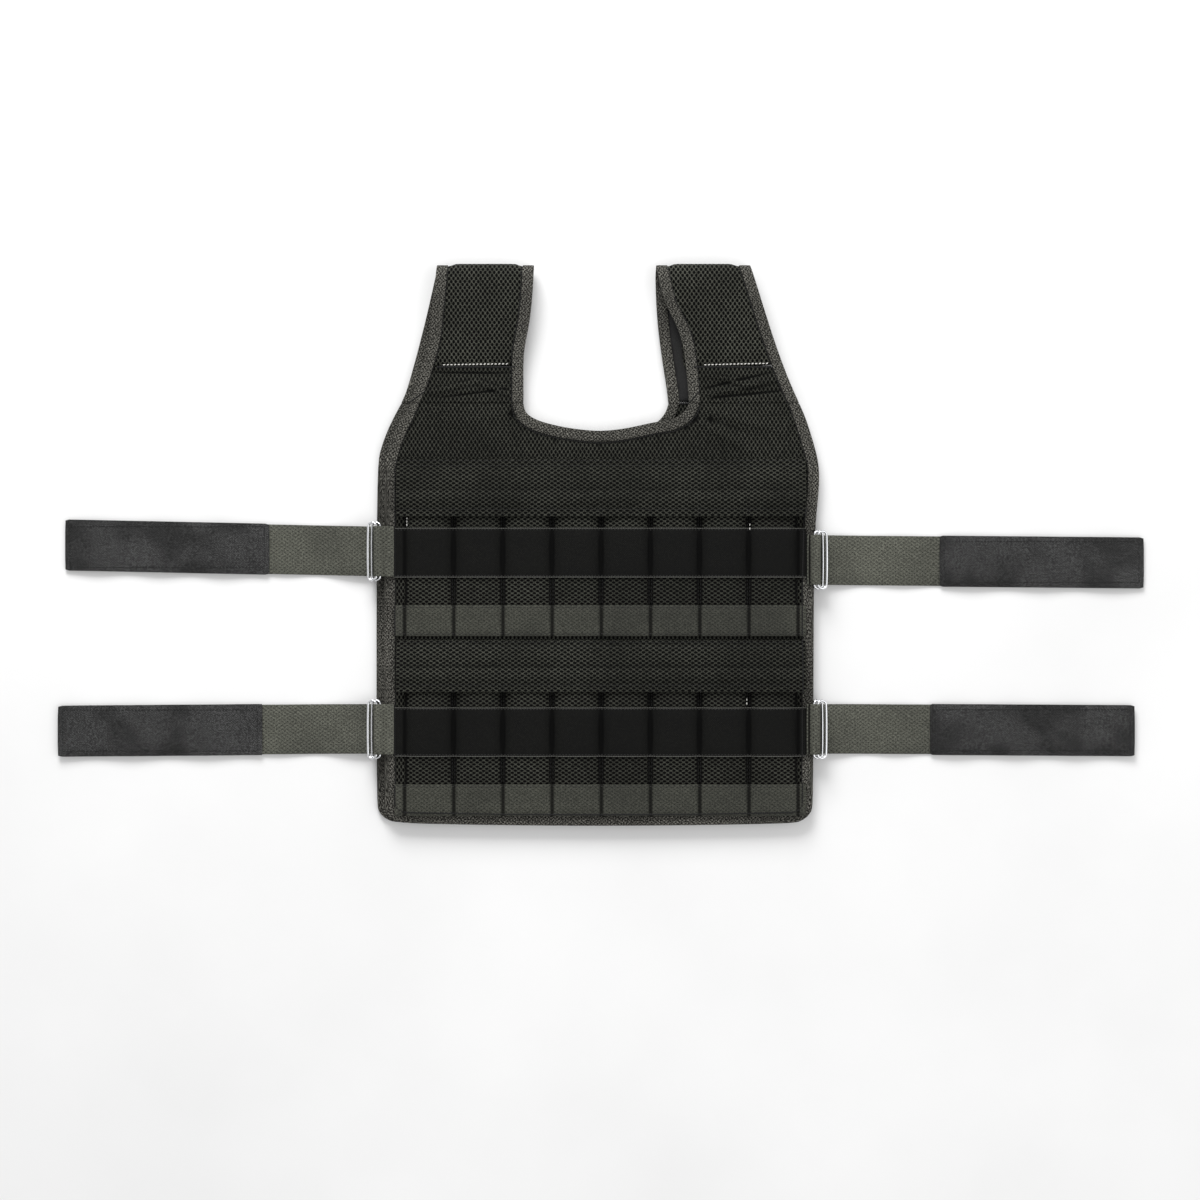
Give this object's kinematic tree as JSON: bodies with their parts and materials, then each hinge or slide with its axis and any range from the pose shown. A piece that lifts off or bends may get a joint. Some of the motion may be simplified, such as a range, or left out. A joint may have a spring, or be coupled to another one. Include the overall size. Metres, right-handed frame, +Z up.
{
  "type": "weighted vest",
  "caption": "Sleeveless mesh vest with rows of flap-covered weight pockets, padded shoulder straps and hook-ended side straps, lying flat; worn to add load to the body.",
  "frame": {"origin": "middle of the bounding box, on the surface that the vest lies on", "axes": "+X along the side straps, to the right in the picture; +Y up the vest from the hem to the shoulders; +Z up from the surface"},
  "size_m": [1.0844, 0.56, 0.0275],
  "materials": {
    "mesh": "open knitted spacer mesh, dark green-grey",
    "binding": "flecked twill tape",
    "loop": "fuzzy loop tape, near black",
    "webbing": "woven webbing, dark grey",
    "hook": "hook tape, charcoal",
    "ring": "bright polished wire"
  },
  "bodies": {
    "root": {"back_panel": "mesh", "back_edge_binding": "binding", "back_neck_binding": "binding", "front_panel": "mesh", "front_edge_binding": "binding", "front_neck_binding": "binding", "left_shoulder_pad": "mesh", "left_strap_join": "mesh", "left_shoulder_outer_binding": "binding", "left_shoulder_inner_binding": "binding", "right_shoulder_pad": "mesh", "right_strap_join": "mesh", "right_shoulder_outer_binding": "binding", "right_shoulder_inner_binding": "binding", "lower_pocket_1": "mesh", "lower_pocket_2": "mesh", "lower_pocket_3": "mesh", "lower_pocket_4": "mesh", "lower_pocket_5": "mesh", "lower_pocket_6": "mesh", "lower_pocket_7": "mesh", "lower_pocket_8": "mesh", "lower_web_band": "webbing", "lower_loop_band": "loop", "lower_flap": "mesh", "upper_pocket_1": "mesh", "upper_pocket_2": "mesh", "upper_pocket_3": "mesh", "upper_pocket_4": "mesh", "upper_pocket_5": "mesh", "upper_pocket_6": "mesh", "upper_pocket_7": "mesh", "upper_pocket_8": "mesh", "upper_web_band": "webbing", "upper_loop_band": "loop", "upper_flap": "mesh", "upper_left_strap": "webbing", "upper_left_hook_patch": "hook", "upper_left_tab": "webbing", "upper_left_ring_1": "ring", "upper_left_ring_2": "ring", "lower_left_strap": "webbing", "lower_left_hook_patch": "hook", "lower_left_tab": "webbing", "lower_left_ring_1": "ring", "lower_left_ring_2": "ring", "upper_right_strap": "webbing", "upper_right_hook_patch": "hook", "upper_right_tab": "webbing", "upper_right_ring_1": "ring", "upper_right_ring_2": "ring", "lower_right_strap": "webbing", "lower_right_hook_patch": "hook", "lower_right_tab": "webbing", "lower_right_ring_1": "ring", "lower_right_ring_2": "ring"}
  },
  "joints": []
}
